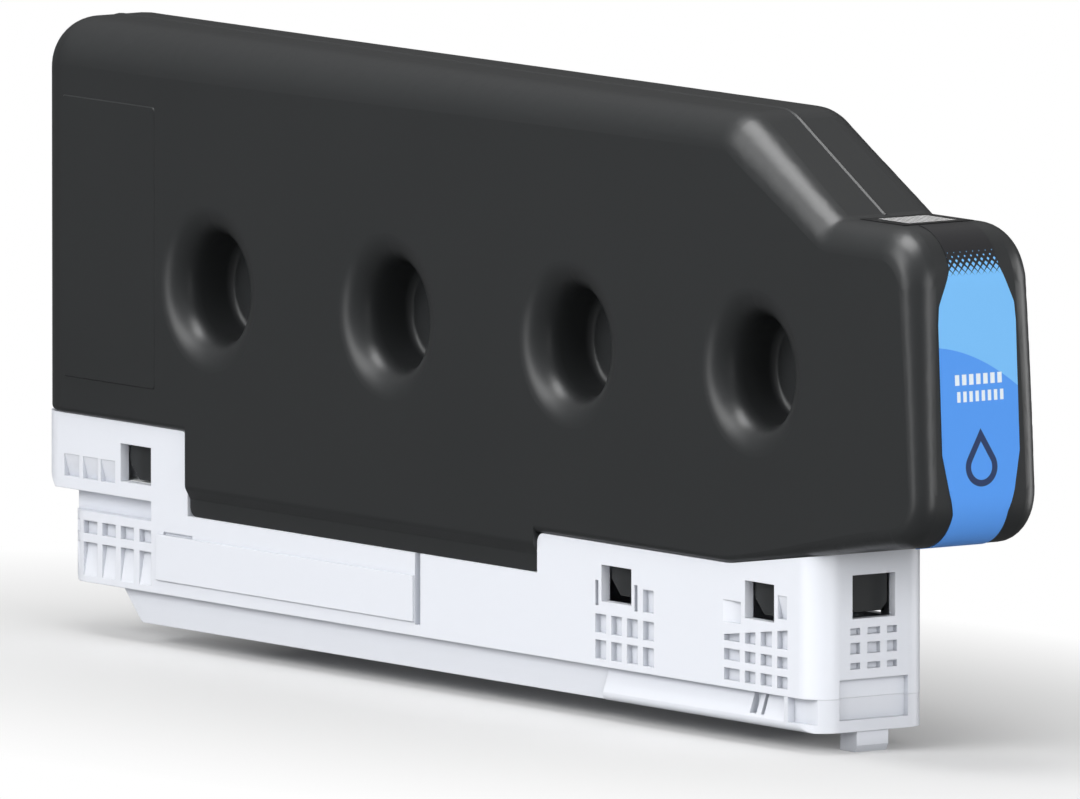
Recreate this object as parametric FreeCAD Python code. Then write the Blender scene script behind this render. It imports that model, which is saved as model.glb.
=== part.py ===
import FreeCAD, Part
import math
import os

from FreeCAD import Vector

# Inkjet ink cartridge: a long flat blow-moulded bottle on a moulded base.
# Lengths are in millimetres. X runs from the left end, which goes into the printer, to the
# labelled nose. Y = 0 is the middle plane and Z = 0 is the underside of the small foot.
# The finished pieces are moved at the end so that the origin is the middle of the footprint.

# Ink outlet at the back end
port_height = 36.6
needle_guide_radius = 2.6
needle_guide_outer_radius = 4.2
needle_guide_end = 7.8
crimp_thickness = 0.4
crimp_skirt = 3.5
crimp_window_radius = 3.0
septum_radius = 4.3
septum_thickness = 3.6
septum_dish_radius = 2.0
septum_dish_tip = 0.3
septum_dish_depth = 1.0
boss_wall = 1.3
filter_gap = 0.6
filter_thickness = 0.4
flow_radius = 1.5
neck_position = 24.0
neck_radius = 5.0
neck_bore_radius = 3.5
neck_length = 4.5
ring_section = 0.9
ring_play = 0.02
socket_wall = 1.4
socket_floor_drop = 3.0
seat_plate_start = 12.0
seat_plate_end = 44.0
seat_plate_thickness = 1.1
seat_gap = 0.9
boss_radius = septum_radius + boss_wall
cap_radius = boss_radius + ring_play + crimp_thickness
cap_headroom = 0.18

# Bottle: the nose's upper end leads the right part, and the port the left underside
bottle_width = 28.6
bottle_wall = 1.5
bottle_top = 119.8
left_underside = port_height + cap_radius + cap_headroom
middle_underside = 26.4
right_underside = 34.1
nose_top = 102.2
nose_top_end = 288.3
nose_top_length = 27.9
nose_lean = 3.2
chamfer_length = 30.3
slope_length = 62.8
right_flat_length = 62.6
middle_start = 50.8
nose_start = nose_top_end - nose_top_length
chamfer_start = nose_start - chamfer_length
slope_end = nose_top_end + nose_lean
slope_start = slope_end - slope_length
middle_end = slope_start - right_flat_length
slope_end_height = 42.9
slope_round = 20.0
back_round = 10.0
chamfer_round = 12.0
nose_root_round = 3.0
nose_upper_round = 11.0
nose_lower_round = 10.5
step_round = 2.0
lower_edge_round = 1.2

# Rounds along the bottle's long edges, from the back over the top to the nose
top_edge_round = 9.0
chamfer_edge_round = 7.0
nose_top_edge_round = 6.0
nose_end_edge_round = 5.2
nose_under_edge_round = 4.0
slope_edge_round = 1.5
least_round = 0.5

# Narrow band along the foot of the bottle's middle
band_inset = 1.3
band_rise = 3.4
band_shoulder_rise = 2.2
band_top = middle_underside + band_rise
band_shoulder = band_top + band_shoulder_rise
band_shoulder_round = 1.9
band_root_round = 0.9

# Round dimples that tie the two sides together
dimple_count = 4
dimple_first = 58.6
dimple_last_setback = 51.5
dimple_height = 71.2
dimple_mouth_radius = 10.6
dimple_floor_radius = 10.1
dimple_web = 3.0
dimple_rim_round = 5.7
dimple_floor_round = 1.5
dimple_pitch = (nose_top_end - dimple_last_setback - dimple_first) / (dimple_count - 1)

# Low raised panel on each side near the back, and the moulding seam
panel_start = 9.8
panel_end = 40.9
panel_rise = 7.3
panel_drop = 14.8
panel_height = 0.2
panel_corner = 0.9
seam_width = 0.9
seam_height = 0.18

# Bottle lugs that catch in the base's windows
lug_thickness = 3.0
lug_chamfer = 3.0
lug_side_gap = 0.4
lug_run = 1.2
fit_gap = 0.1

# Base frame
frame_width = 27.0
frame_wall = 2.0
nose_overhang = 34.9
frame_end = slope_end - nose_overhang
frame_bottom = 10.4
frame_step_gap = 0.2
frame_front_round = 5.5
frame_back_round = 7.0
upper_back_drop = 3.6
upper_back_round = 4.0
upper_back_foot = 6.0
lower_back = 8.8
lower_back_chamfer = 16.0
lower_back_foot = 13.0
closed_floor_end = 29.0

# Long groove in the frame's left block, under the outlet's seat
groove_width = 3.9
groove_depth = 2.5
groove_end = 38.3
groove_back = 7.5
groove_high = port_height - boss_radius - seat_gap - frame_wall
groove_low = groove_high - groove_width

# Pockets that lighten the frame's walls. In the middle and right sets each X range is
# measured back from the frame's front end.
pocket_depth = 1.2
pocket_fade = 0.1
row_a_columns = [(9.1, 14.1), (15.4, 20.4), (21.4, 26.2)]
row_a_low = port_height - 6.1
row_a_high = port_height - 1.8
left_columns = [(11.4, 14.1), (15.6, 20.2), (21.9, 26.4), (28.1, 32.5), (34.4, 38.3)]
row_b_low = 19.9
row_b_high = 22.4
row_c_low = 11.7
row_c_high = 18.2
middle_columns = [(71.3, 67.8), (66.1, 62.7), (61.0, 57.5), (55.8, 52.3)]
middle_rows = [(11.8, 15.4), (16.8, 20.4)]
middle_slots = [(71.3, 70.3, 22.0, 26.8), (58.6, 57.6, 22.0, 27.0), (55.8, 52.4, 22.1, 26.4)]
right_columns = [(29.6, 24.6), (22.9, 19.5), (17.8, 14.2), (12.5, 9.2)]
right_rows = [(11.8, 14.1), (15.6, 17.8)]
right_top_row_low = 19.3
right_top_row_start_high = 20.4
right_top_row_end_high = 23.0
right_side_pocket = (12.3, 9.4, 25.0, 29.4)
right_wedge_pocket = (30.0, 24.2, 22.8, 27.0)
end_columns = [(-5.5, -3.2), (-1.5, 1.5), (3.1, 5.4)]
end_rows = [(15.9, 17.1), (18.8, 20.9), (22.4, 23.7)]

# Windows as X and Z ranges on both long sides, each with its lug's lower end
side_windows = [
    (28.1, 38.3, left_underside - 11.7, left_underside - 4.3, left_underside - 11.2),
    (frame_end - 69.3, frame_end - 59.6, 22.9, 29.9, 24.2),
    (frame_end - 22.9, frame_end - 13.5, 24.1, 31.3, 25.0),
]
end_window_half = 5.0
end_window_low = 25.5
end_window_high = 33.8
end_lug_low = 26.5

# Raised side panel and slit on the frame's long sides
raised_start = 40.5
raised_end_setback = 40.1
raised_end = middle_end - raised_end_setback
raised_low = 13.1
raised_high = 22.0
raised_height = 0.4
ledge_start = 42.5
ledge_end = 52.2
ledge_height = 0.6
ledge_depth = 0.5
slit_gap = 0.2
slit_width = 1.8
slit_low = 12.6

# Recess across the frame's front end and the cover below it
end_recess_half = 8.0
end_recess_low = 6.3
end_recess_high = 14.0
end_recess_depth = 1.3

# Bottom cover. Its ribs, corner pockets and foot are measured back from the frame's front end.
cover_underside = 4.0
cover_inset = 1.5
cover_start = 27.0
cover_slope_end = 33.1
cover_wall = 1.6
cover_floor = 2.0
tongue_height = 4.0
flange_length = 68.8
flange_lip_height = 1.6
flange_lip_round = 1.2
rib_pockets = [(21.6, 19.5), (18.0, 17.0)]
rib_pocket_depth = 0.8
rib_pocket_low = 6.2
head_length = 10.3
corner_pocket_length = 9.1
corner_pocket_low = 5.6
foot_half = 3.7
foot_length = 5.3
foot_setback = 0.4
foot_slant = 1.3

# Air vent under the bottle's right part
vent_setback = 49.1
vent_position = frame_end - vent_setback
vent_neck_length = 6.0
vent_plug_rise = 12.0
vent_plug_flange_radius = 6.5
vent_plug_flange_thickness = 2.0
vent_hole_radius = 1.2
vent_groove_depth = 0.8
vent_groove_height = 1.1
vent_groove_position = 3.0
vent_tube_radius = 2.0
vent_tube_socket = 4.0
vent_tube_headroom = 7.8
vent_tube_top = bottle_top - vent_tube_headroom
vent_membrane_radius = 4.5
vent_membrane_thickness = 0.3
vent_ring_radius = 5.5
vent_ring_bore_radius = 3.2
vent_ring_thickness = 0.9

# Memory chip on the back end
chip_half_width = 5.5
chip_low = 16.6
chip_high = 23.4
chip_thickness = 0.8
chip_setback = 0.2
contact_thickness = 0.1
contact_width = 1.7
contact_height = 2.3
contact_columns = 4
contact_rows = 2
contact_pitch_across = 2.4
contact_pitch_up = 3.1
die_half_width = 2.0
die_height = 3.0
die_thickness = 0.7

# Ink
ink_gap = 0.1
air_space = 13.8
ink_level = bottle_top - air_space

half_bottle = bottle_width / 2
half_frame = frame_width / 2
half_cover = half_frame - cover_inset
inner_half_frame = half_frame - frame_wall
slope_rise = (slope_end_height - right_underside) / (slope_end - slope_start)

# Labels: the front one's rows are heights, each with how far its edge is inside the widest part
label_thickness = 0.15
label_corner = 2.0
label_edge_gap = 0.1
front_label_wrap = 9.7
front_label_half = half_bottle - nose_end_edge_round - label_edge_gap
front_label_rows = [(94.9, 3.3), (88.0, 0.3), (84.5, 0), (60.0, 0), (52.5, 1.5), (48.5, 2.6)]
top_label_back_gap = 2.7
top_label_front_gap = 11.0
top_label_half = half_bottle - nose_top_edge_round - 2 * label_edge_gap

# Cutting pieces run this far past what they cut, and pieces that aren't seen go on this far
overshoot = 1.0
beyond = 30.0

# How near two places are taken as the same
near = 1e-3
same = 1e-6


def slope_height(x):
    """Height of the bottle's underside at x, right of the middle part."""
    return right_underside + max(0.0, x - slope_start) * slope_rise


def rounded_face(corners, place):
    """Flat face from corners (a, b, radius); place turns a and b into a point."""
    count = len(corners)
    stretches = []
    for i, (a, b, radius) in enumerate(corners):
        corner = place(a, b)
        if radius == 0:
            stretches.append((corner, None, corner))
            continue
        before = place(*corners[i - 1][:2]).sub(corner).normalize()
        after = place(*corners[(i + 1) % count][:2]).sub(corner).normalize()
        half_angle = before.getAngle(after) / 2
        along = radius / math.tan(half_angle)
        middle = (before + after).normalize() * (radius / math.sin(half_angle) - radius)
        stretches.append((corner + before * along, corner + middle, corner + after * along))
    edges = []
    for i, (start, middle, end) in enumerate(stretches):
        if middle is not None:
            edges.append(Part.Arc(start, middle, end).toShape())
        following = stretches[(i + 1) % count][0]
        if following.sub(end).Length > same:
            edges.append(Part.LineSegment(end, following).toShape())
    return Part.Face(Part.Wire(edges))


def side_prism(corners, y_low, y_high):
    """Outline in X and Z, carried from y_low to y_high."""
    face = rounded_face(corners, lambda a, b: Vector(a, y_low, b))
    return face.extrude(Vector(0, y_high - y_low, 0))


def end_prism(corners, x_low, x_high):
    """Outline in Y and Z, carried from x_low to x_high."""
    face = rounded_face(corners, lambda a, b: Vector(x_low, a, b))
    return face.extrude(Vector(x_high - x_low, 0, 0))


def block(x_low, x_high, y_low, y_high, z_low, z_high):
    return Part.makeBox(x_high - x_low, y_high - y_low, z_high - z_low, Vector(x_low, y_low, z_low))


def along_x(radius, x_low, x_high, height):
    return Part.makeCylinder(radius, x_high - x_low, Vector(x_low, 0, height), Vector(1, 0, 0))


def upright(radius, z_low, z_high, x):
    return Part.makeCylinder(radius, z_high - z_low, Vector(x, 0, z_low))


def both_sides(shape):
    """The shape and its twin on the other side of the middle plane."""
    return [shape, shape.mirror(Vector(0, 0, 0), Vector(0, 1, 0))]


def edges_where(shape, test):
    return [edge for edge in shape.Edges if test(edge.BoundBox)]


def inset_outline(corners, inset):
    """Clockwise outline moved inwards by inset, with its rounds kept parallel."""
    count = len(corners)
    moved = []
    for i, (a, b, radius) in enumerate(corners):
        before = Vector(a - corners[i - 1][0], b - corners[i - 1][1], 0).normalize()
        after = Vector(corners[(i + 1) % count][0] - a, corners[(i + 1) % count][1] - b, 0).normalize()
        turn = before.x * after.y - before.y * after.x
        inward = Vector(before.y + after.y, -before.x - after.x, 0)
        reach = inset / (1 + before.dot(after))
        bulges = turn < 0
        new_radius = radius - inset if bulges else radius + inset
        if radius == 0 or new_radius <= 0:
            new_radius = 0
        moved.append((a + inward.x * reach, b + inward.y * reach, new_radius))
    return moved


bottle_outline = [
    (0, left_underside, 0),
    (0, bottle_top, back_round),
    (chamfer_start, bottle_top, chamfer_round),
    (nose_start, nose_top, nose_root_round),
    (nose_top_end, nose_top, nose_upper_round),
    (slope_end, slope_end_height, nose_lower_round),
    (slope_start, right_underside, slope_round),
    (middle_end, right_underside, 0),
    (middle_end, middle_underside, step_round),
    (middle_start, middle_underside, step_round),
    (middle_start, left_underside, 0),
]


def edge_round(point):
    """Round of the bottle's long edge where it passes this point of the outline."""
    chamfer_middle = (chamfer_start + nose_start) / 2
    nose_middle = (nose_top + slope_end_height) / 2
    if point.z > nose_middle:
        if point.x < chamfer_start - chamfer_round / 2:
            return top_edge_round
        if point.x < chamfer_middle:
            return chamfer_edge_round
        if point.z > nose_top - nose_upper_round / 2:
            return nose_top_edge_round
        return nose_end_edge_round
    if point.x < slope_start:
        return top_edge_round if point.x < middle_start else slope_edge_round
    if point.x > nose_start:
        return nose_under_edge_round
    return slope_edge_round


def rounded_along(shape, half_width, inset):
    """Rounds the long edges from the back over the top and round the nose."""
    document = FreeCAD.newDocument("rounding")
    base = document.addObject("Part::Feature", "base")
    base.Shape = shape
    chosen = []
    for number, edge in enumerate(shape.Edges, 1):
        box = edge.BoundBox
        on_side = box.YLength < same and abs(abs(box.YMin) - half_width) < same
        under = box.XMax < middle_end + inset + overshoot and box.ZMax < left_underside + inset + overshoot
        if not on_side or under:
            continue
        radii = [max(edge_round(v.Point) - inset, least_round) for v in edge.Vertexes]
        chosen.append((number, radii[0], radii[-1]))
    rounding = document.addObject("Part::Fillet", "rounding")
    rounding.Base = base
    rounding.Edges = chosen
    document.recompute()
    result = rounding.Shape.copy()
    FreeCAD.closeDocument(document.Name)
    return result


def dimple(x, inset, depth):
    """Funnel cut from one side of the bottle, to the depth from its outer face."""
    draft = (dimple_mouth_radius - dimple_floor_radius) / (half_bottle - dimple_web / 2)
    mouth = dimple_mouth_radius + inset + overshoot * draft
    tip = dimple_mouth_radius + inset - depth * draft
    start = Vector(x, -half_bottle - overshoot, dimple_height)
    return Part.makeCone(mouth, tip, depth + overshoot, start, Vector(0, 1, 0))


def band_cutter(half_width, inset):
    """Space beside the narrow band along the foot of the bottle's middle."""
    band_half = half_width - band_inset
    cutter_top = band_shoulder + 2 * band_shoulder_round + inset
    outline = [
        (band_half, 0, 0),
        (band_half, band_top + inset, band_root_round),
        (half_width, band_shoulder + inset, band_shoulder_round),
        (half_width, cutter_top, 0),
        (half_width + overshoot, cutter_top, 0),
        (half_width + overshoot, 0, 0),
    ]
    return end_prism(outline, middle_start - overshoot, middle_end + overshoot)


def bottle_form(inset):
    """The bottle's outer form at inset 0, or the same form that much inside it."""
    half_width = half_bottle - inset
    form = side_prism(inset_outline(bottle_outline, inset), -half_width, half_width)
    form = rounded_along(form, half_width, inset)
    form = form.cut(both_sides(band_cutter(half_width, inset)))
    hollow = inset > 0
    depth = half_bottle if hollow else half_bottle - dimple_web / 2
    funnels = []
    for i in range(dimple_count):
        funnels += both_sides(dimple(dimple_first + i * dimple_pitch, inset, depth))
    form = form.cut(funnels)
    rims = edges_where(form, lambda box: box.YLength < same and box.XLength > 2 * dimple_floor_radius
                       and abs(box.XLength - box.ZLength) < near and abs(box.YMin) > half_width - near)
    return form.makeFillet(dimple_rim_round + inset, rims)


def lug(window):
    """Lug behind a side window on the near side, with its back lower corner cut off."""
    x_low, x_high, z_low, z_high, lug_low = window
    outer = -(inner_half_frame - fit_gap)
    top = (left_underside if x_high < middle_start else slope_height(x_low)) + bottle_wall / 2
    outline = [
        (x_low + lug_side_gap, top, 0),
        (x_high + lug_run, top, 0),
        (x_high + lug_run, lug_low, 0),
        (x_low + lug_side_gap + lug_chamfer, lug_low, 0),
        (x_low + lug_side_gap, lug_low + lug_chamfer, 0),
    ]
    return side_prism(outline, outer, outer + lug_thickness)


def end_lug():
    """Lug behind the window in the frame's front end, with its far lower corner cut off."""
    outer = frame_end - frame_wall - fit_gap
    half = end_window_half - lug_side_gap
    top = slope_height(outer) + bottle_wall / 2
    outline = [
        (-half - lug_run, top, 0),
        (half, top, 0),
        (half, end_lug_low + lug_chamfer / 2, 0),
        (half - lug_chamfer / 2, end_lug_low, 0),
        (-half - lug_run, end_lug_low, 0),
    ]
    return end_prism(outline, outer - lug_thickness, outer)


def seam_ridge():
    """Low pointed ridge in the middle plane, up the back, along the top and down the corner."""
    foot = rounded_face(inset_outline(bottle_outline, seam_height), lambda a, b: Vector(a, -seam_width, b))
    crest = rounded_face(inset_outline(bottle_outline, -seam_height), lambda a, b: Vector(a, 0, b))
    flank = Part.makeLoft([foot.OuterWire, crest.OuterWire], True, True)
    flank = flank.common(block(-seam_height, nose_start, -seam_width, seam_width,
                               left_underside + back_round, bottle_top + overshoot))
    return both_sides(flank)


def side_panel():
    """Low panel raised from the near side by the back, with edges that slope at 45 degrees."""
    low = left_underside + panel_rise
    high = bottle_top - panel_drop
    outline = [(panel_start, low, panel_corner), (panel_start, high, panel_corner),
               (panel_end, high, panel_corner), (panel_end, low, panel_corner)]
    wires = []
    for step in (-panel_height, panel_height):
        face = rounded_face(inset_outline(outline, step), lambda a, b: Vector(a, -half_bottle - step, b))
        wires.append(face.OuterWire)
    return Part.makeLoft(wires, True, True)


def make_bottle():
    bottle = bottle_form(0)
    floors = edges_where(bottle, lambda box: box.YLength < same
                         and abs(abs(box.YMin) - dimple_web / 2) < near)
    bottle = bottle.makeFillet(dimple_floor_round, floors)
    under_back = edges_where(bottle, lambda box: box.ZLength < same and abs(box.ZMin - left_underside) < near
                             and box.XMax < middle_start + near and box.XMin < middle_start - overshoot)
    bottle = bottle.makeFillet(lower_edge_round, under_back)
    added = seam_ridge() + both_sides(side_panel()) + [end_lug()]
    necks = [(neck_position, left_underside, neck_length), (vent_position, right_underside, vent_neck_length)]
    for x, underside, length in necks:
        added.append(upright(neck_radius, underside - length, underside + bottle_wall / 2, x))
    for window in side_windows:
        added += both_sides(lug(window))
    bottle = bottle.fuse(added)
    bores = [upright(neck_bore_radius, underside - length - overshoot, underside + bottle_wall + overshoot, x)
             for x, underside, length in necks]
    return bottle.cut([bottle_form(bottle_wall)] + bores).removeSplitter()


def make_ink():
    """The ink, a hair inside the bottle's walls, up to its level and round the vent tube."""
    ink = bottle_form(bottle_wall + ink_gap)
    ink = ink.common(block(0, slope_end, -half_bottle, half_bottle, 0, ink_level))
    return ink.cut(upright(neck_bore_radius, 0, bottle_top, vent_position))


def frame_side_outline():
    """Outer outline of the frame in X and Z, up to the bottle's underside."""
    return [
        (0, left_underside, 0),
        (middle_start - frame_step_gap, left_underside, step_round),
        (middle_start - frame_step_gap, middle_underside, 0),
        (middle_end + frame_step_gap, middle_underside, 0),
        (middle_end + frame_step_gap, right_underside, step_round),
        (slope_start, right_underside, slope_round),
        (frame_end, slope_height(frame_end), 0),
        (frame_end, frame_bottom, 0),
        (lower_back_foot, frame_bottom, step_round),
        (lower_back, lower_back_chamfer, step_round),
        (lower_back, groove_high, 0),
        (upper_back_foot, groove_high, 0),
        (0, port_height - upper_back_drop, upper_back_round),
    ]


def frame_hollow_outline():
    """Outline of the frame's inside, open above and, right of the closed floor, below."""
    floor = frame_bottom + frame_wall
    shelf = groove_high + frame_wall
    return [
        (frame_wall, left_underside + beyond, 0),
        (frame_end - frame_wall, left_underside + beyond, 0),
        (frame_end - frame_wall, -beyond, 0),
        (closed_floor_end, -beyond, 0),
        (closed_floor_end, floor, 0),
        (lower_back_foot + frame_wall, floor, 0),
        (lower_back + frame_wall, lower_back_chamfer + frame_wall / 2, 0),
        (lower_back + frame_wall, shelf, 0),
        (upper_back_foot + frame_wall, shelf, 0),
        (frame_wall, port_height - upper_back_drop + frame_wall, 0),
    ]


def rounded_plan(x_low, x_high, half, back, front, z_low, z_high):
    """Upright block with its corners rounded in plan: back at x_low and front at x_high."""
    plate = block(x_low, x_high, -half, half, z_low, z_high)
    for corner, x in ((back, x_low), (front, x_high)):
        if corner > 0:
            upright_edges = edges_where(plate, lambda box: box.ZLength > z_high - z_low - same
                                        and abs(box.XMin - x) < same and box.XLength < same)
            plate = plate.makeFillet(corner, upright_edges)
    return plate


def frame_plan(inset):
    """The frame's plan at its upper back and below its step, for the outside or the inside."""
    half = half_frame - inset
    back = frame_back_round - inset
    front = frame_front_round - inset
    step = groove_high + inset
    upper = rounded_plan(inset, frame_end - inset, half, back, front, step, left_underside + beyond)
    lower = rounded_plan(lower_back + inset, frame_end - inset, half, back, front, -beyond, step)
    return upper.fuse(lower).removeSplitter()


def groove_band(grow):
    """Space of the long groove on both sides and round the back, grown all round."""
    half = half_frame - groove_depth - grow
    ring = block(-overshoot, groove_end + grow, -half_bottle, half_bottle,
                 groove_low - grow, groove_high + grow)
    core = block(groove_back + grow, groove_end + beyond, -half, half, 0, left_underside)
    return ring.cut(core)


def wall_pocket(x_low, x_high, z_low, z_high, depth_low=pocket_depth, depth_high=pocket_depth):
    """Pocket in the near long wall; it may fade out towards its top or its foot."""
    face = -half_frame
    outside = face - raised_height - overshoot
    outline = [
        (outside, z_low, 0),
        (face + depth_low, z_low, 0),
        (face + depth_high, z_high, 0),
        (outside, z_high, 0),
    ]
    return end_prism(outline, x_low, x_high)


def from_front(far, near_end, *others):
    """Range given back from the frame's front end as one along X; what follows it stays."""
    return (frame_end - far, frame_end - near_end, *others)


def frame_pockets():
    """All the pockets in the near long wall."""
    pockets = [wall_pocket(a, b, row_a_low, row_a_high, pocket_depth, pocket_fade) for a, b in row_a_columns]
    pockets += [wall_pocket(a, b, row_b_low, row_b_high) for a, b in left_columns]
    pockets += [wall_pocket(a, b, row_c_low, row_c_high, pocket_fade, pocket_depth) for a, b in left_columns]
    pockets += [wall_pocket(*from_front(*column), *row) for column in middle_columns for row in middle_rows]
    pockets += [wall_pocket(*from_front(*slot)) for slot in middle_slots]
    pockets += [wall_pocket(*from_front(*column), *row) for column in right_columns for row in right_rows]
    pockets.append(wall_pocket(*from_front(*right_side_pocket), pocket_depth, pocket_fade))
    pockets.append(wedge_pocket(*from_front(*right_wedge_pocket)))
    first = frame_end - right_columns[0][0]
    last = frame_end - right_columns[-1][1]
    rise = (right_top_row_end_high - right_top_row_start_high) / (last - first)
    for column in right_columns:
        a, b = from_front(*column)
        outline = [
            (a, right_top_row_low, 0),
            (a, right_top_row_start_high + (a - first) * rise, 0),
            (b, right_top_row_start_high + (b - first) * rise, 0),
            (b, right_top_row_low, 0),
        ]
        pockets.append(side_prism(outline, -half_frame - overshoot, -half_frame + pocket_depth))
    ledge_high = raised_high + ledge_height
    pockets.append(wall_pocket(ledge_start, ledge_end, raised_high, ledge_high, ledge_depth, ledge_depth))
    slit_start = raised_end + slit_gap
    pockets.append(wall_pocket(slit_start, slit_start + slit_width, slit_low, middle_underside + overshoot))
    return pockets


def wedge_pocket(x_low, x_high, z_low, z_high):
    """Pocket that is deepest at its right end and runs out to the left."""
    face = -half_frame
    corners = [
        Vector(x_low, face, z_low),
        Vector(x_high, face + pocket_depth, z_low),
        Vector(x_high, face - overshoot, z_low),
        Vector(x_low, face - overshoot, z_low),
        Vector(x_low, face, z_low),
    ]
    return Part.Face(Part.makePolygon(corners)).extrude(Vector(0, 0, z_high - z_low))


def make_base_frame():
    frame = side_prism(frame_side_outline(), -half_frame, half_frame).common(frame_plan(0))
    raised = block(raised_start, raised_end, -half_frame - raised_height, 0, raised_low, raised_high)
    frame = frame.fuse(both_sides(raised))
    frame = frame.cut(groove_band(0))
    hollow = side_prism(frame_hollow_outline(), -inner_half_frame, inner_half_frame)
    hollow = hollow.common(frame_plan(frame_wall))
    frame = frame.cut(hollow.cut(groove_band(frame_wall)))
    cuts = []
    for pocket in frame_pockets():
        cuts += both_sides(pocket)
    for x_low, x_high, z_low, z_high, lug_low in side_windows:
        cuts += both_sides(block(x_low, x_high, -half_frame - overshoot, -inner_half_frame + overshoot,
                                 z_low, z_high))
    outside = frame_end + overshoot
    cuts += [block(frame_end - pocket_depth, outside, *column, *row)
             for column in end_columns for row in end_rows]
    cuts.append(block(frame_end - frame_wall - overshoot, outside, -end_window_half, end_window_half,
                      end_window_low, end_window_high))
    cuts.append(end_recess())
    cuts.append(block(0, lower_back + chip_setback + chip_thickness, -chip_half_width - fit_gap,
                      chip_half_width + fit_gap, chip_low - fit_gap, chip_high + fit_gap))
    chip_middle = (chip_low + chip_high) / 2
    cuts.append(block(0, lower_back + frame_wall + overshoot,
                      -die_half_width - fit_gap, die_half_width + fit_gap,
                      chip_middle - die_height / 2 - fit_gap, chip_middle + die_height / 2 + fit_gap))
    frame = frame.cut(cuts)
    guide = along_x(needle_guide_outer_radius, frame_wall / 2, needle_guide_end, port_height)
    frame = frame.fuse(guide)
    bore = along_x(needle_guide_radius, -overshoot, needle_guide_end + overshoot, port_height)
    return frame.cut(bore).removeSplitter()


def end_recess():
    """Shallow recess shared by the frame's front end and the cover below it."""
    return block(frame_end - end_recess_depth, frame_end + overshoot, -end_recess_half, end_recess_half,
                 end_recess_low, end_recess_high)


def make_bottom_cover():
    skirt_outline = [
        (cover_start, frame_bottom, 0),
        (frame_end, frame_bottom, 0),
        (frame_end, cover_underside, 0),
        (cover_slope_end, cover_underside, step_round),
    ]
    top_half = half_cover - fit_gap
    lip_low = cover_underside + flange_lip_height
    flare_outline = [
        (-top_half, frame_bottom, 0),
        (top_half, frame_bottom, 0),
        (half_frame, lip_low, 0),
        (half_frame, cover_underside, flange_lip_round),
        (-half_frame, cover_underside, flange_lip_round),
        (-half_frame, lip_low, 0),
    ]
    flare = end_prism(flare_outline, frame_end - flange_length, frame_end)
    head = block(frame_end - head_length, frame_end, -half_frame, half_frame, cover_underside, frame_bottom)
    lip = edges_where(head, lambda box: box.ZMax < cover_underside + near
                      and (box.XLength > same or box.XMin > frame_end - near))
    head = head.makeFillet(flange_lip_round, lip)
    cover = side_prism(skirt_outline, -half_cover, half_cover).fuse([flare, head])
    plan = rounded_plan(cover_start, frame_end, half_frame, 0, frame_front_round, 0, frame_bottom)
    cover = cover.common(plan)
    inner_half = inner_half_frame - fit_gap
    inner_end = frame_end - frame_wall
    tongue = rounded_plan(closed_floor_end + fit_gap, inner_end - fit_gap, inner_half, 0,
                          frame_front_round - frame_wall, frame_bottom, frame_bottom + tongue_height)
    cover = cover.fuse(tongue)
    hollow = block(cover_slope_end, inner_end - cover_wall - end_recess_depth, -inner_half + cover_wall,
                   inner_half - cover_wall, cover_underside + cover_floor, frame_bottom + beyond)
    cuts = [hollow, end_recess()]
    outside = -half_frame - overshoot
    for rib in rib_pockets:
        a, b = from_front(*rib)
        pocket = block(a, b, outside, -half_cover + rib_pocket_depth, rib_pocket_low, frame_bottom)
        cuts += both_sides(pocket)
    corner = block(frame_end - corner_pocket_length, frame_end - rib_pocket_depth, outside,
                   -half_frame + 2 * rib_pocket_depth, corner_pocket_low, frame_bottom)
    cuts += both_sides(corner)
    cover = cover.cut(cuts)
    return cover.fuse(foot()).removeSplitter()


def foot():
    """Small tab under the front end, which the part stands on, with its front corner cut off."""
    foot_end = frame_end - foot_setback
    foot_top = cover_underside + cover_floor / 2
    outline = [
        (foot_end - foot_length, foot_top, 0),
        (foot_end, foot_top, 0),
        (foot_end, foot_slant, 0),
        (foot_end - foot_slant / 2, 0, 0),
        (foot_end - foot_length, 0, 0),
    ]
    return side_prism(outline, -foot_half, foot_half)


septum_start = needle_guide_end + fit_gap + crimp_thickness
septum_end = septum_start + septum_thickness
filter_start = septum_end + filter_gap
filter_end = filter_start + filter_thickness
socket_radius = neck_radius + 2 * ring_section
socket_floor = port_height - socket_floor_drop
seat_height = groove_high + frame_wall


def make_outlet_manifold():
    body = upright(socket_radius + socket_wall, seat_height, left_underside, neck_position)
    boss = along_x(boss_radius, septum_start, neck_position, port_height)
    plate = block(seat_plate_start, seat_plate_end, -inner_half_frame + fit_gap, inner_half_frame - fit_gap,
                  seat_height, seat_height + seat_plate_thickness)
    body = body.fuse([boss, plate])
    body = body.cut([
        upright(socket_radius, left_underside - neck_length, left_underside + overshoot, neck_position),
        upright(neck_radius - ring_section, socket_floor, left_underside, neck_position),
        along_x(septum_radius, septum_start - overshoot, filter_end, port_height),
        along_x(flow_radius, filter_end, neck_position, port_height),
    ])
    return body.removeSplitter()


def make_neck_o_ring():
    middle = left_underside - neck_length / 2
    centre = Vector(neck_position, 0, middle)
    return Part.makeTorus(neck_radius + ring_section, ring_section - ring_play, centre)


def make_septum():
    """Rubber disc that the printer's needle passes through, with a shallow dish in front."""
    disc = along_x(septum_radius - ring_play, septum_start, septum_end, port_height)
    dish = Part.makeCone(septum_dish_radius, septum_dish_tip, septum_dish_depth,
                         Vector(septum_start, 0, port_height), Vector(1, 0, 0))
    return disc.cut(dish)


def make_crimp_cap():
    """Thin cap that holds the septum in the boss."""
    end = septum_start + crimp_skirt
    cap = along_x(cap_radius, septum_start - crimp_thickness, end, port_height)
    cap = cap.cut(along_x(boss_radius + ring_play, septum_start, end + overshoot, port_height))
    return cap.cut(along_x(crimp_window_radius, 0, end, port_height))


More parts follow.
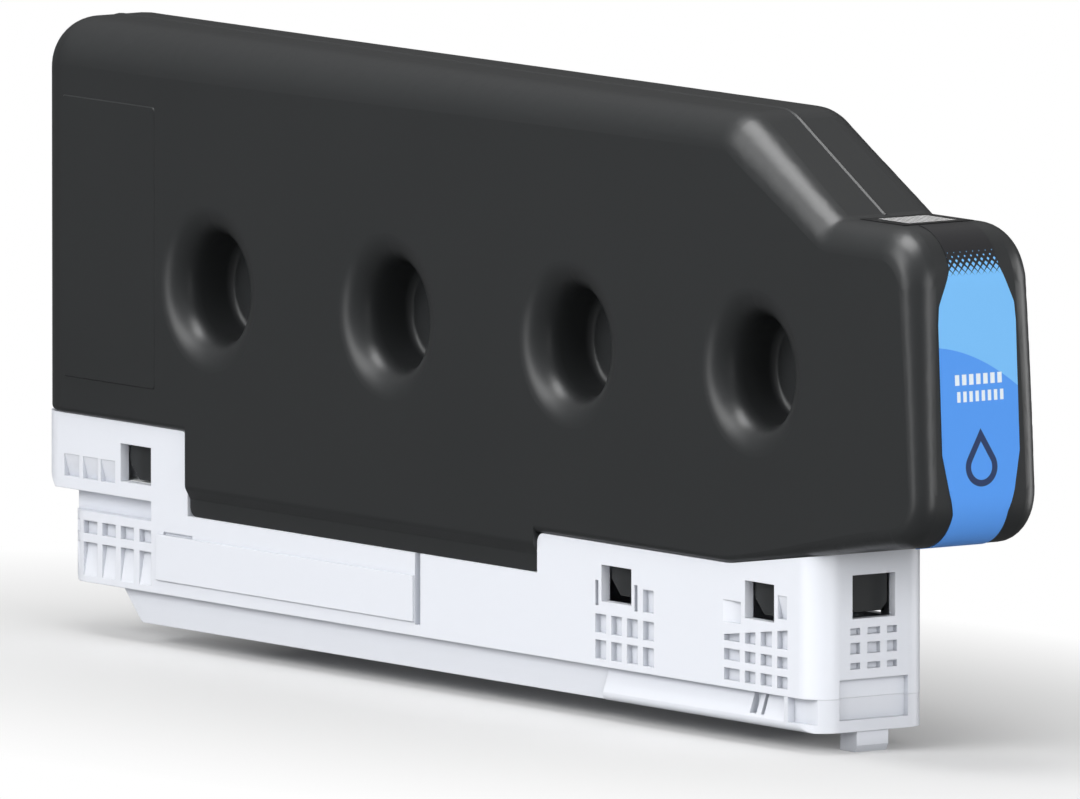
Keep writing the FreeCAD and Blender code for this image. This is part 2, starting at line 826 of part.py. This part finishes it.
def make_outlet_filter():
    return along_x(septum_radius - ring_play, filter_start, filter_end, port_height)


vent_neck_end = right_underside - vent_neck_length
vent_plug_top = vent_neck_end + vent_plug_rise
vent_flange_low = vent_neck_end - vent_plug_flange_thickness
vent_plug_radius = neck_bore_radius - fit_gap


def make_vent_plug():
    plug = upright(vent_plug_radius, vent_flange_low, vent_plug_top, vent_position)
    plug = plug.fuse(upright(vent_plug_flange_radius, vent_flange_low, vent_neck_end, vent_position))
    groove_start = vent_neck_end + vent_groove_position
    ring = upright(vent_plug_flange_radius, groove_start, groove_start + vent_groove_height, vent_position)
    ring = ring.cut(upright(vent_plug_radius - vent_groove_depth, 0, bottle_top, vent_position))
    return plug.cut([
        ring,
        upright(vent_hole_radius, 0, bottle_top, vent_position),
        upright(vent_tube_radius + ring_play, vent_plug_top - vent_tube_socket, bottle_top, vent_position),
    ])


def make_vent_o_ring():
    section = (neck_bore_radius - vent_plug_radius + vent_groove_depth) / 2
    middle = vent_neck_end + vent_groove_position + vent_groove_height / 2
    return Part.makeTorus(neck_bore_radius - section, section - ring_play, Vector(vent_position, 0, middle))


def make_vent_tube():
    start = vent_plug_top - vent_tube_socket
    tube = upright(vent_tube_radius, start, vent_tube_top, vent_position)
    return tube.cut(upright(vent_hole_radius, 0, bottle_top, vent_position))


def make_vent_membrane():
    low = vent_flange_low - vent_membrane_thickness
    return upright(vent_membrane_radius, low, vent_flange_low, vent_position)


def make_vent_ring():
    """Ring that holds the vent membrane against the plug's flange."""
    top = vent_flange_low - vent_membrane_thickness
    ring = upright(vent_ring_radius, top - vent_ring_thickness, top, vent_position)
    return ring.cut(upright(vent_ring_bore_radius, 0, bottle_top, vent_position))


chip_face = lower_back + chip_setback


def make_chip_board():
    return block(chip_face, chip_face + chip_thickness,
                 -chip_half_width, chip_half_width, chip_low, chip_high)


def make_chip_contacts():
    pads = []
    middle = (chip_low + chip_high) / 2
    for row in range(contact_rows):
        z = middle + (row - (contact_rows - 1) / 2) * contact_pitch_up
        for column in range(contact_columns):
            y = (column - (contact_columns - 1) / 2) * contact_pitch_across
            pads.append(block(chip_face - contact_thickness, chip_face,
                              y - contact_width / 2, y + contact_width / 2,
                              z - contact_height / 2, z + contact_height / 2))
    return Part.makeCompound(pads)


def make_chip_die():
    middle = (chip_low + chip_high) / 2
    back = chip_face + chip_thickness
    return block(back, back + die_thickness, -die_half_width, die_half_width,
                 middle - die_height / 2, middle + die_height / 2)


def make_front_label():
    """Thin label that wraps the nose from its upper round to its lower one."""
    skin = side_prism(inset_outline(bottle_outline, -label_thickness), -half_bottle, half_bottle)
    skin = skin.cut(side_prism(bottle_outline, -half_bottle - overshoot, half_bottle + overshoot))
    rows = [(z, front_label_half - inside) for z, inside in front_label_rows]
    top_half = rows[0][1]
    bottom_half = rows[-1][1]
    right = [(half, z, label_corner) for z, half in rows]
    left = [(-half, z, label_corner) for z, half in reversed(rows)]
    outline = [(top_half, bottle_top, 0)] + right + [(bottom_half, 0, 0), (-bottom_half, 0, 0)]
    outline += left + [(-top_half, bottle_top, 0)]
    return skin.common(end_prism(outline, nose_top_end - front_label_wrap, slope_end + beyond))


def make_top_label():
    return block(nose_start + top_label_back_gap, nose_top_end - top_label_front_gap,
                 -top_label_half, top_label_half, nose_top, nose_top + label_thickness)


def build_all():
    return {
        "bottle": make_bottle(),
        "ink": make_ink(),
        "base_frame": make_base_frame(),
        "bottom_cover": make_bottom_cover(),
        "front_label": make_front_label(),
        "top_label": make_top_label(),
        "outlet_manifold": make_outlet_manifold(),
        "neck_o_ring": make_neck_o_ring(),
        "septum": make_septum(),
        "crimp_cap": make_crimp_cap(),
        "outlet_filter": make_outlet_filter(),
        "vent_plug": make_vent_plug(),
        "vent_o_ring": make_vent_o_ring(),
        "vent_tube": make_vent_tube(),
        "vent_membrane": make_vent_membrane(),
        "vent_ring": make_vent_ring(),
        "chip_board": make_chip_board(),
        "chip_contacts": make_chip_contacts(),
        "chip_die": make_chip_die(),
    }


def main():
    os.makedirs("parts", exist_ok=True)
    pieces = build_all()
    whole = Part.makeCompound(list(pieces.values())).optimalBoundingBox()
    to_origin = Vector(-(whole.XMin + whole.XMax) / 2, 0, 0)
    for name, shape in pieces.items():
        shape.translate(to_origin)
        shape.exportStep(f"parts/{name}.step")
        box = shape.optimalBoundingBox()
        print(f"{name}: {len(shape.Solids)} solids, valid {shape.isValid()}, {shape.Volume:.0f} mm3,",
              f"X {box.XMin:.2f} {box.XMax:.2f}, Y {box.YMin:.2f} {box.YMax:.2f},",
              f"Z {box.ZMin:.2f} {box.ZMax:.2f}")
    print(f"moved by {to_origin.x:.3f} mm along X")


main()
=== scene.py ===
import math

import bpy
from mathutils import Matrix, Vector


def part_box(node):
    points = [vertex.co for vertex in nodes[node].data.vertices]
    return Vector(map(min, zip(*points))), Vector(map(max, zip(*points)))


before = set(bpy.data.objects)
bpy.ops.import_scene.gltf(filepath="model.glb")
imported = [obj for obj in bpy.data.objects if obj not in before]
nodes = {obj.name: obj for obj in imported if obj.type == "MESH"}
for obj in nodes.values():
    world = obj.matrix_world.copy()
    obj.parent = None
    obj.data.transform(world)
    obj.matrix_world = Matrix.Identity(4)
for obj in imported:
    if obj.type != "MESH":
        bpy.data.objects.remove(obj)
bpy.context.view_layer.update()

mm = 0.001
print("frame loaded:", len(nodes), "pieces")


# Shader sums: a Wire is one socket, and + - * / on it add Math nodes
class Wire:
    def __init__(self, board, socket):
        self.board = board
        self.socket = socket

    def maths(self, operation, *values, clamp=False):
        settings = {"operation": operation, "use_clamp": clamp}
        return self.board.node("ShaderNodeMath", settings, dict(enumerate(values)))

    def __add__(self, other):
        return self.maths("ADD", self, other)

    def __radd__(self, other):
        return self.maths("ADD", other, self)

    def __sub__(self, other):
        return self.maths("SUBTRACT", self, other)

    def __rsub__(self, other):
        return self.maths("SUBTRACT", other, self)

    def __mul__(self, other):
        return self.maths("MULTIPLY", self, other)

    def __rmul__(self, other):
        return self.maths("MULTIPLY", other, self)

    def __truediv__(self, other):
        return self.maths("DIVIDE", self, other)

    def __rtruediv__(self, other):
        return self.maths("DIVIDE", other, self)

    def __abs__(self):
        return self.maths("ABSOLUTE", self)

    def root(self):
        return self.maths("SQRT", self)

    def least(self, other):
        return self.maths("MINIMUM", self, other)

    def most(self, other):
        return self.maths("MAXIMUM", self, other)

    def wrap(self, span):
        # runs from 0 to the span, then starts again
        return self.maths("WRAP", self, span, 0)

    def fold(self, span):
        # runs from 0 up to the span and back
        return self.maths("PINGPONG", self, span)

    def above(self, edge, soft):
        # 0 below the edge, 1 above it, with a short soft run between
        return self.maths("MULTIPLY_ADD", self - edge, 1 / soft, 0.5, clamp=True)

    def below(self, edge, soft):
        return 1 - self.above(edge, soft)

    def between(self, low, high, soft):
        return self.above(low, soft) * self.below(high, soft)


# A node tree, with one method that makes any node
class Board:
    def __init__(self, tree):
        self.tree = tree

    def node(self, kind, settings, sockets, output=0):
        made = self.tree.nodes.new(kind)
        for name, value in settings.items():
            setattr(made, name, value)
        for name, value in sockets.items():
            self.feed(made.inputs[name], value)
        return Wire(self, made.outputs[output])

    def feed(self, socket, value):
        if isinstance(value, Wire):
            self.tree.links.new(value.socket, socket)
        else:
            socket.default_value = value

    def split(self, vector):
        parts = self.node("ShaderNodeSeparateXYZ", {}, {0: vector})
        return [Wire(self, socket) for socket in parts.socket.node.outputs]

    def ray(self, kind):
        return self.node("ShaderNodeLightPath", {}, {}, kind)


# One material and its Principled surface
class Finish(Board):
    def __init__(self, name, **constants):
        self.material = bpy.data.materials.new(name)
        self.material.use_nodes = True
        super().__init__(self.material.node_tree)
        self.surface = self.tree.nodes["Principled BSDF"]
        for socket, value in constants.items():
            self.surface.inputs[socket.replace("_", " ")].default_value = value

    def give(self, socket, value):
        self.feed(self.surface.inputs[socket], value)

    def where(self):
        return self.node("ShaderNodeTexCoord", {}, {}, "Object")

    def axes(self):
        # X, Y and Z in millimetres
        return [part * 1000 for part in self.split(self.where())]

    def noise(self, size, detail=2, stretch=(1, 1, 1)):
        # size is one ripple, in metres
        spread = self.node("ShaderNodeMapping", {}, {"Vector": self.where(), "Scale": stretch})
        return self.node("ShaderNodeTexNoise", {}, {"Vector": spread, "Scale": 1 / size, "Detail": detail})

    def mix(self, factor, first, second):
        full = [value if isinstance(value, Wire) else (*value, 1) for value in (first, second)]
        return self.node("ShaderNodeMix", {"data_type": "RGBA"}, {0: factor, 6: full[0], 7: full[1]}, 2)

    def bump(self, height, strength, distance, under=None):
        sockets = {"Height": height, "Strength": strength, "Distance": distance}
        if under:
            sockets["Normal"] = under
        return self.node("ShaderNodeBump", {}, sockets)


def dress(names, finish):
    for name in names:
        slots = nodes[name].data.materials
        slots.clear()
        slots.append(finish.material)


# Black bottle: satin blow-moulded plastic, with a fine grain and slow ripples in its skin
bottleSkin = {
    "dark": (0.0212, 0.0226, 0.0236),
    "pale": (0.0232, 0.0246, 0.0256),
    "gloss": (0.34, 0.38),
    "grain": 0.35 * mm,
    "grainBump": (0.035, 0.1 * mm),
    "ripple": 38 * mm,
    "rippleBump": (0.05, 1 * mm),
}


def bottlePlastic():
    skin = Finish("bottlePlastic", Specular_IOR_Level=0.42)
    cloud = skin.noise(bottleSkin["ripple"], 3)
    grain = skin.noise(bottleSkin["grain"], 1)
    skin.give("Base Color", skin.mix(cloud, bottleSkin["dark"], bottleSkin["pale"]))
    low, high = bottleSkin["gloss"]
    skin.give("Roughness", low + (high - low) * cloud)
    slow = skin.bump(cloud, *bottleSkin["rippleBump"])
    skin.give("Normal", skin.bump(grain, *bottleSkin["grainBump"], slow))
    return skin


# White base and its cover: satin moulded plastic
baseSkin = {
    "clean": (0.815, 0.838, 0.895),
    "worn": (0.790, 0.813, 0.870),
    "gloss": (0.34, 0.46),
    "grain": 0.4 * mm,
    "grainBump": (0.04, 0.1 * mm),
    "flow": 30 * mm,
    "flowStretch": (0.4, 1, 1),
    "corner": 0.25 * mm,
    # painted shade in pockets and inner corners: how far it looks, how strong it is and its grey
    "reach": 3.2 * mm,
    "paintedShadeStrength": 0.75,
    "paintedShadeGrey": (0.42, 0.44, 0.48),
}


# the tint darkens a copy of this plastic as painted shade; 1.0 leaves it as it is
def whitePlastic(name, paintedShadeTint):
    skin = Finish(name, Specular_IOR_Level=0.45)
    cloud = skin.noise(baseSkin["flow"], 2, baseSkin["flowStretch"])
    grain = skin.noise(baseSkin["grain"], 1)
    clean = [part * paintedShadeTint for part in baseSkin["clean"]]
    worn = [part * paintedShadeTint for part in baseSkin["worn"]]
    colour = skin.mix(cloud, clean, worn)
    low, high = baseSkin["gloss"]
    skin.give("Roughness", low + (high - low) * cloud)
    # painted shade: pockets and inner corners are mixed towards grey where ambient occlusion finds them
    # closed in
    reach = {"Distance": baseSkin["reach"]}
    openness = skin.node("ShaderNodeAmbientOcclusion", {"samples": 6}, reach, "AO")
    skin.give("Base Color", skin.mix((1 - openness) * baseSkin["paintedShadeStrength"], colour, baseSkin["paintedShadeGrey"]))
    corner = skin.node("ShaderNodeBevel", {"samples": 4}, {"Radius": baseSkin["corner"]})
    skin.give("Normal", skin.bump(grain, *baseSkin["grainBump"], corner))
    return skin


# Front label's print, in millimetres across (Y) and up (Z)
frontPrint = {
    "black": (0.018, 0.018, 0.020),
    "light": (0.215, 0.560, 1.000),
    "deep": (0.105, 0.350, 0.930),
    "ink": (0.030, 0.050, 0.125),
    "white": (0.86, 0.93, 0.98),
    "fadeTop": 98.4,
    "fadeFoot": 92.9,
    "dotPitch": 1.47,
    "dotFill": 0.56,
    "waveMiddle": 77.6,
    "waveTilt": -0.45,
    "waveBow": -0.018,
    # foot, top, left, right, pitch and the share of the pitch that a bar fills
    "rows": [(72.9, 74.9, -5.6, 5.8, 1.65, 0.62), (69.7, 71.7, -5.2, 6.2, 1.43, 0.55)],
    "dropFoot": 53.6,
    "dropTop": 64.6,
    "dropHalf": 3.7,
    "dropLine": 1.25,
    "soft": 0.07,
    "sharp": 0.01,
    "ripple": 6 * mm,
    "rippleBump": (0.03, 0.2 * mm),
}


def frontLabelFilm():
    look = frontPrint
    soft = look["soft"]
    film = Finish("frontLabelFilm", Specular_IOR_Level=0.4, Roughness=0.32)
    x, y, z = film.axes()

    wave = look["waveMiddle"] + look["waveTilt"] * y + look["waveBow"] * y * y
    colour = film.mix((z - wave).above(0, soft), look["deep"], look["light"])

    # two rows of small white bars
    for low, high, left, right, pitch, bar in look["rows"]:
        bars = (y - left).wrap(pitch).below(pitch * bar, soft)
        bars = bars * y.between(left, right, soft) * z.between(low, high, soft)
        colour = film.mix(bars, colour, look["white"])

    # outline of a drop: a circle drawn out to a point above
    radius = look["dropHalf"]
    middle = look["dropFoot"] + radius
    slant = math.asin(radius / (look["dropTop"] - middle))
    side = abs(y)
    rise = z - middle
    onSlant = (math.cos(slant) * rise - math.sin(slant) * side).above(0, look["sharp"])
    fromCircle = (y * y + rise * rise).root()
    fromSlant = math.cos(slant) * side + math.sin(slant) * rise
    reach = fromCircle + (fromSlant - fromCircle) * onSlant
    line = reach.between(radius - look["dropLine"], radius, soft)
    colour = film.mix(line, colour, look["ink"])

    # black top that breaks into diamonds
    pitch = look["dotPitch"]
    apart = y.fold(pitch / 2) + z.fold(pitch / 2)
    nearest = apart.least(pitch - apart)
    shown = (look["fadeTop"] - z) / (look["fadeTop"] - look["fadeFoot"])
    blue = (shown * pitch * look["dotFill"] - nearest).above(0, soft)
    colour = film.mix(blue, look["black"], colour)

    film.give("Base Color", colour)
    film.give("Normal", film.bump(film.noise(look["ripple"], 2), *look["rippleBump"]))
    return film


# Top label: black film with a pale patch of small squares
topPrint = {
    "black": (0.010, 0.010, 0.011),
    "pale": (0.88, 0.88, 0.88),
    "grey": (0.04, 0.04, 0.04),
    "across": (-5.4, 5.9),
    "margin": 2.2,
    "square": 1.42,
    "gap": 0.12,
    "gloss": (0.22, 0.37),
    "soft": 0.07,
}


def topLabelFilm():
    look = topPrint
    soft = look["soft"]
    film = Finish("topLabelFilm", Specular_IOR_Level=0.35)
    x, y, z = film.axes()
    low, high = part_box("top_label")
    start = low.x / mm + look["margin"]
    end = high.x / mm - look["margin"]
    pitch = look["square"]
    gap = pitch * look["gap"]
    squares = x.wrap(pitch).between(gap, pitch - gap, soft) * y.wrap(pitch).between(gap, pitch - gap, soft)
    patch = x.between(start, end, soft) * y.between(*look["across"], soft)
    colour = film.mix(squares, look["grey"], look["pale"])
    film.give("Base Color", film.mix(patch, look["black"], colour))
    smooth, rough = look["gloss"]
    film.give("Roughness", smooth + (rough - smooth) * patch)
    return film


# Small parts: each has its colour range, its gloss range and the size of its grain
smallParts = {
    "innerPlastic": ((0.70, 0.72, 0.73), (0.78, 0.80, 0.81), (0.42, 0.55), 1.2 * mm, {}),
    "tubePlastic": ((0.74, 0.74, 0.71), (0.82, 0.82, 0.80), (0.30, 0.42), 2.0 * mm, {}),
    "sealRubber": ((0.016, 0.016, 0.016), (0.034, 0.034, 0.034), (0.60, 0.78), 0.3 * mm, {}),
    "septumRubber": ((0.16, 0.15, 0.14), (0.22, 0.21, 0.20), (0.62, 0.80), 0.3 * mm, {}),
    "capMetal": ((0.72, 0.73, 0.75), (0.86, 0.87, 0.88), (0.22, 0.38), 0.5 * mm, {"Metallic": 1.0}),
    "membraneFibre": ((0.80, 0.80, 0.79), (0.92, 0.92, 0.91), (0.80, 0.92), 0.15 * mm, {}),
    "boardLacquer": ((0.014, 0.115, 0.050), (0.022, 0.170, 0.075), (0.25, 0.38), 0.9 * mm, {}),
    "contactGold": ((0.80, 0.55, 0.20), (0.90, 0.68, 0.30), (0.20, 0.34), 0.2 * mm, {"Metallic": 1.0}),
    "dieResin": ((0.010, 0.010, 0.010), (0.022, 0.022, 0.022), (0.18, 0.30), 0.8 * mm, {}),
    "inkLiquid": ((0.000, 0.200, 0.480), (0.002, 0.260, 0.580), (0.05, 0.10), 20 * mm, {}),
}

smallBump = (0.08, 0.05 * mm)


def smallPart(name):
    dark, pale, (smooth, rough), grain, constants = smallParts[name]
    finish = Finish(name, **constants)
    cloud = finish.noise(grain, 3)
    finish.give("Base Color", finish.mix(cloud, dark, pale))
    finish.give("Roughness", smooth + (rough - smooth) * cloud)
    finish.give("Normal", finish.bump(cloud, *smallBump))
    return finish


# Outlet filter: fine woven steel, its wires crossing in Y and Z; the gaps between the wires are painted
# shade, a near-black colour for the dark seen through them
filterWeave = {
    "pitch": 0.16,
    "wire": (0.55, 0.55, 0.56),
    "hole": (0.06, 0.06, 0.06),
    "bump": (0.4, 0.05 * mm),
}


def filterSteel():
    steel = Finish("filterSteel", Metallic=1.0, Roughness=0.35)
    x, y, z = steel.axes()
    half = filterWeave["pitch"] / 2
    wires = y.fold(half).most(z.fold(half)) / half
    steel.give("Base Color", steel.mix(wires, filterWeave["hole"], filterWeave["wire"]))
    steel.give("Normal", steel.bump(wires, *filterWeave["bump"]))
    return steel


dress(["bottle"], bottlePlastic())
dress(["base_frame"], whitePlastic("basePlastic", 1.0))
# painted shade: the cover is a darker copy of the base plastic, its 0.94 tint standing in for the shade on
# its lower side
dress(["bottom_cover"], whitePlastic("coverPlasticShadedCopy", 0.94))
dress(["front_label"], frontLabelFilm())
dress(["top_label"], topLabelFilm())
dress(["outlet_manifold", "vent_plug", "vent_ring"], smallPart("innerPlastic"))
dress(["neck_o_ring", "vent_o_ring"], smallPart("sealRubber"))
dress(["septum"], smallPart("septumRubber"))
dress(["crimp_cap"], smallPart("capMetal"))
dress(["outlet_filter"], filterSteel())
dress(["vent_tube"], smallPart("tubePlastic"))
dress(["vent_membrane"], smallPart("membraneFibre"))
dress(["chip_board"], smallPart("boardLacquer"))
dress(["chip_contacts"], smallPart("contactGold"))
dress(["chip_die"], smallPart("dieResin"))
dress(["ink"], smallPart("inkLiquid"))
print("finishes made:", len(bpy.data.materials))


# Studio floor and sky. The floor turns to plain white from nearFloor to farFloor, which count from the line
# middle in Y, and less so along X. Glow is what the sky lights with, and shine is what it shows in gloss,
# with more of it overhead.
studio = {
    "floorHalf": 6.0,
    "floorShade": (0.72, 0.72, 0.72),
    "floorStain": 0.995,
    "floorCloud": 0.5,
    "bounceShade": (0.40, 0.40, 0.40),
    "middle": 0.0,
    "alongX": 0.25,
    "nearFloor": 0.04,
    "farFloor": 0.14,
    "glow": 0.20,
    "shine": 0.10,
    "upperShine": 0.26,
    "upperFrom": 0.45,
    "upperSoft": 0.3,
    "sideSoft": 0.1,
    "slopeSoft": 0.12,
}


def makeFloor():
    bpy.ops.object.select_all(action="DESELECT")
    bpy.ops.mesh.primitive_plane_add(size=2 * studio["floorHalf"], location=(0, 0, 0))
    floor = bpy.context.object
    floor.name = "studioFloor"
    paint = Finish("floorPaint", Roughness=0.9, Specular_IOR_Level=0.0)
    x, y, z = paint.axes()
    middle, near, far = [studio[name] * 1000 for name in ("middle", "nearFloor", "farFloor")]
    away = (x * x * studio["alongX"] + (y - middle) * (y - middle)).root()
    fade = away.above((near + far) / 2, far - near)
    shade = studio["floorShade"]
    stained = [part * studio["floorStain"] for part in shade]
    shade = paint.mix(paint.noise(studio["floorCloud"]), shade, stained)
    paint.give("Base Color", paint.mix(paint.ray("Is Diffuse Ray"), shade, studio["bounceShade"]))
    white = paint.node("ShaderNodeEmission", {}, {"Color": (1, 1, 1, 1), "Strength": 1.0})
    clear = paint.node("ShaderNodeBsdfTransparent", {}, {})
    surface = Wire(paint, paint.surface.outputs[0])
    # the far floor fades to white, and the glossy parts mirror the sky's lights through it
    seen = fade * paint.ray("Is Camera Ray")
    both = paint.node("ShaderNodeMixShader", {}, {0: seen, 1: surface, 2: white})
    both = paint.node("ShaderNodeMixShader", {}, {0: paint.ray("Is Glossy Ray"), 1: both, 2: clear})
    paint.feed(paint.tree.nodes["Material Output"].inputs["Surface"], both)
    floor.data.materials.append(paint.material)


# Tall lights that only the glossy parts mirror: the compass turn from -Y towards +X in degrees, the half
# width, the lowest and highest slope at which they shine, and how bright they are
mirrorLights = {
    "sideStrip": (-13, 0.17, -0.30, 0.62, 2.4),
    "sideBox": (-19, 0.25, 0.12, 0.80, 3.2),
    "frontStrip": (92, 0.20, -0.40, 0.40, 4.0),
    "backStrip": (162, 0.26, -0.40, 0.40, 4.0),
}


def makeSky():
    world = bpy.data.worlds.new("studioSky")
    world.use_nodes = True
    bpy.context.scene.world = world
    sky = Board(world.node_tree)
    x, y, z = sky.split(sky.node("ShaderNodeTexCoord", {}, {}, "Generated"))
    sideSoft, slopeSoft = studio["sideSoft"], studio["slopeSoft"]
    shine = studio["shine"] + z.above(studio["upperFrom"], studio["upperSoft"]) * studio["upperShine"]
    for turn, half, low, high, strength in mirrorLights.values():
        turn = math.radians(turn)
        across = abs(x * math.cos(turn) + y * math.sin(turn))
        ahead = (x * math.sin(turn) - y * math.cos(turn)).above(sideSoft, sideSoft)
        shown = across.below(half, sideSoft) * ahead * z.between(low, high, slopeSoft)
        shine = shine + shown * strength
    strength = studio["glow"] + (shine - studio["glow"]) * sky.ray("Is Glossy Ray")
    strength = strength + (1 - strength) * sky.ray("Is Camera Ray")
    light = sky.node("ShaderNodeBackground", {}, {"Color": (1, 1, 1, 1), "Strength": strength})
    sky.feed(world.node_tree.nodes["World Output"].inputs["Surface"], light)


# Soft boxes: where each stands, what it looks at, its width and height in metres and its power in watts.
# The key and the fills light the surfaces, and the streak box is what the glossy parts mirror above them.
softBoxes = {
    "topKey": ((-0.05, -0.14, 0.95), (0.02, 0.0, 0.05), 0.36, 0.36, 3.0, "glossy"),
    "streakBox": ((0.0, -0.18, 0.95), (0.0, 0.0, 0.05), 0.58, 0.58, 9.5, "diffuse"),
    "sideFill": ((-0.10, -0.90, 0.66), (0.0, 0.0, 0.05), 0.5, 0.5, 7.0, "glossy"),
    "lowFill": ((0.42, -1.05, 0.30), (0.0, 0.0, 0.05), 0.7, 0.4, 3.7, "glossy"),
    "frontBox": ((1.0, -0.10, 0.30), (0.14, 0.0, 0.06), 0.5, 0.5, 4.9, "glossy"),
}


def makeSoftBox(name):
    place, target, width, height, power, unseenBy = softBoxes[name]
    lamp = bpy.data.lights.new(name, "AREA")
    lamp.shape = "RECTANGLE"
    lamp.size = width
    lamp.size_y = height
    lamp.energy = power
    holder = bpy.data.objects.new(name, lamp)
    holder.location = place
    holder.rotation_euler = (Vector(target) - Vector(place)).to_track_quat("-Z", "Y").to_euler()
    holder.visible_camera = False
    setattr(holder, "visible_" + unseenBy, False)
    bpy.context.scene.collection.objects.link(holder)


cameraView = {
    "azimuth": 54.3,
    "elevation": 6.39,
    "target": (0.0030, 0.0, 0.0571),
    "lens": 1250,
    "sensor": 36,
    "distance": 7.17,
    "farEnd": 30,
}


def makeCamera():
    around = math.radians(cameraView["azimuth"])
    up = math.radians(cameraView["elevation"])
    back = Vector((math.sin(around) * math.cos(up), -math.cos(around) * math.cos(up), math.sin(up)))
    eye = bpy.data.cameras.new("photoCamera")
    eye.lens = cameraView["lens"]
    eye.sensor_width = cameraView["sensor"]
    eye.clip_end = cameraView["farEnd"]
    holder = bpy.data.objects.new("photoCamera", eye)
    holder.location = Vector(cameraView["target"]) + back * cameraView["distance"]
    holder.rotation_euler = back.to_track_quat("Z", "Y").to_euler()
    bpy.context.scene.collection.objects.link(holder)
    bpy.context.scene.camera = holder


makeFloor()
makeSky()
for boxName in softBoxes:
    makeSoftBox(boxName)
makeCamera()
bpy.context.scene.view_settings.view_transform = "Standard"
print("studio set")
